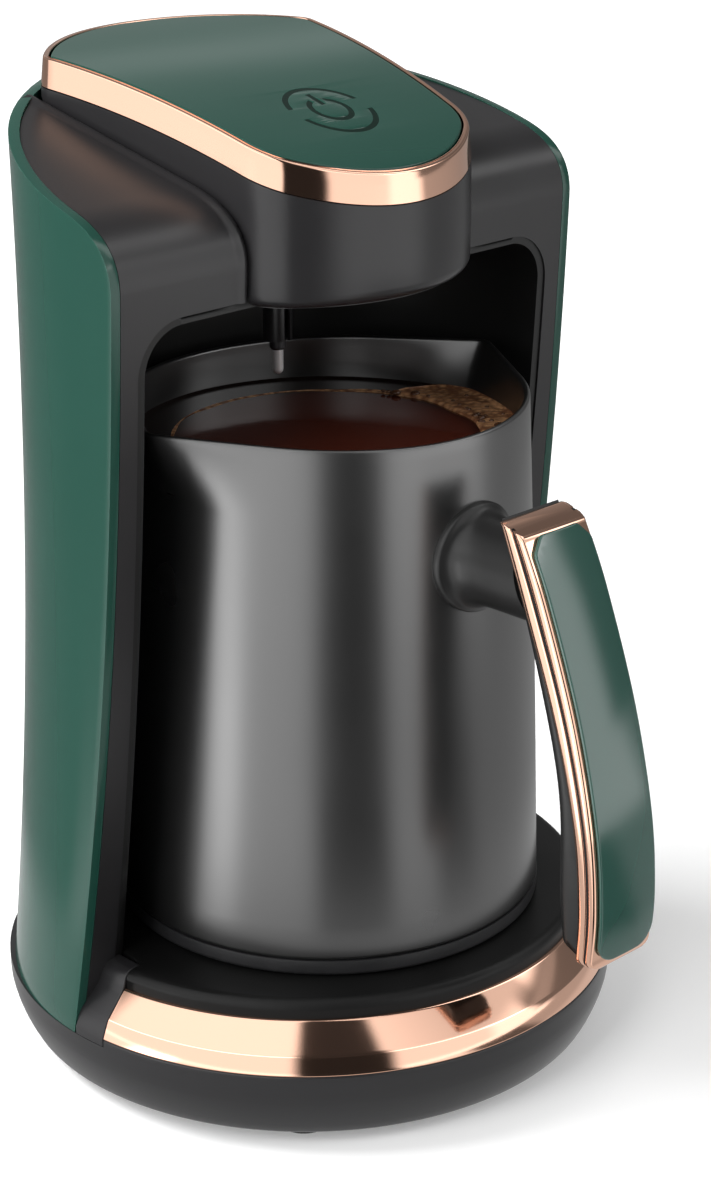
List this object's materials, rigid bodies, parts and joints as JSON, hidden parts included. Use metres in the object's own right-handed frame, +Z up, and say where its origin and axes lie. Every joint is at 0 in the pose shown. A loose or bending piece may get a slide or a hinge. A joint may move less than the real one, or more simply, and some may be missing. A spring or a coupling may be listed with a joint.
{
  "type": "electric turkish coffee maker",
  "caption": "Countertop electric coffee maker with a pull-out spouted jug in an arched tower bay, a foam probe above it and a press-plate switch on a forward nose.",
  "frame": {"origin": "on the surface it stands on, under the middle of the whole part's box", "axes": "+Z up, +Y to the rear, -Y to the front where the jug's handle points, +X to the right seen from the front"},
  "size_m": [0.1452, 0.1736, 0.2302],
  "materials": {
    "charcoal_plastic": "satin charcoal moulding",
    "green_gloss": "dark green high gloss",
    "rose_gold": "rose-gold mirror plating",
    "jug_black": "satin black, food safe",
    "jug_base_black": "satin black",
    "rubber_black": "soft matt",
    "steel": "plain bright steel",
    "aluminium_plate": "plain",
    "board_green": "circuit board",
    "component_black": "moulded component",
    "brass_contact": "plain",
    "icon_ink": "dark green inlay",
    "led_lens": "clear lens",
    "wire_sleeve": "soft sleeve"
  },
  "bodies": {
    "base": {"base_shell": "charcoal_plastic", "base_bottom_cover": "charcoal_plastic", "rubber_feet": "rubber_black", "base_screws": "steel", "tray_deck": "charcoal_plastic", "front_trim_band": "rose_gold", "cord_gland": "rubber_black", "power_board": "board_green", "power_relay": "component_black", "power_terminal": "component_black", "left_side_panel": "green_gloss", "right_side_panel": "green_gloss", "rear_cover": "charcoal_plastic", "rear_cover_screws": "steel", "front_housing": "charcoal_plastic", "bay_liner": "charcoal_plastic", "head_shell": "charcoal_plastic", "head_underside_cover": "charcoal_plastic", "head_screws": "steel", "cap_trim_ring": "rose_gold", "plate_hinge_pin": "steel", "tact_switch": "component_black", "control_board": "board_green", "board_screws": "steel", "buzzer": "component_black", "indicator_led": "led_lens", "probe_guard": "charcoal_plastic", "probe_sleeve": "component_black", "probe_pin": "steel", "wire_harness": "wire_sleeve", "jug_socket": "component_black", "socket_contacts": "brass_contact"},
    "plate": {"power_plate": "green_gloss", "power_icon": "icon_ink"},
    "plunger": {"switch_plunger": "component_black"},
    "jug": {"jug_body": "jug_black", "jug_base_ring": "jug_base_black", "jug_base_cover": "jug_base_black", "heater_plate": "aluminium_plate", "heating_element": "steel", "thermostat": "steel", "jug_plug": "component_black", "plug_pins": "brass_contact", "handle_arm": "jug_black", "handle_inner_shell": "jug_black", "handle_frame": "rose_gold", "handle_outer_panel": "green_gloss", "handle_screws": "steel"}
  },
  "joints": [
    {"name": "plate_hinge", "type": "hinge", "parent": "base", "child": "plate", "pos_m": [0, 0.059, 0.22448], "axis": [1, 0, 0], "range_deg": [0, 0.85], "stiffness_Nm_per_rad": 2, "springref_deg": -1.15},
    {"name": "switch_press", "type": "slide", "parent": "base", "child": "plunger", "axis": [0, 0, -1], "range_m": [0, 0.001]},
    {"name": "jug_pull", "type": "slide", "parent": "base", "child": "jug", "axis": [0, -1, 0], "range_m": [0, 0.2]}
  ],
  "couplings": [
    {"joint": "switch_press", "follows": "plate_hinge", "m_per_rad": 0.055}
  ]
}
